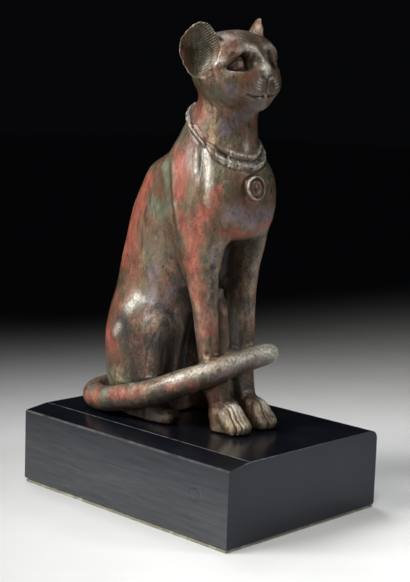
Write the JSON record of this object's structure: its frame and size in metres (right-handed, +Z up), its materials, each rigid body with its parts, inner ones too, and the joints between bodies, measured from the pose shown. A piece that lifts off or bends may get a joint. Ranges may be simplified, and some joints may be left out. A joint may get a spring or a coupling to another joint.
{
  "type": "bastet cat figure",
  "caption": "Bronze seated cat with open cupped ears, a bead collar with a round pendant and a tail curled round its feet, on a bevelled black block with a felt base.",
  "frame": {"origin": "centre of the bounding box at its base: the underside of the felt pad", "axes": "+Z up, -Y the way the cat faces, +X to the cat's own left"},
  "size_m": [0.0672, 0.0906, 0.1504],
  "materials": {
    "bronze": "old patinated cast bronze, brown with red and green patches, rubbed bright on the high places",
    "lacquer": "black lacquered wood, glossy, lightly smudged",
    "felt": "olive felt with a frayed edge"
  },
  "bodies": {
    "root": {"bronze_cat": "bronze", "plinth": "lacquer", "felt_pad": "felt"}
  },
  "joints": []
}
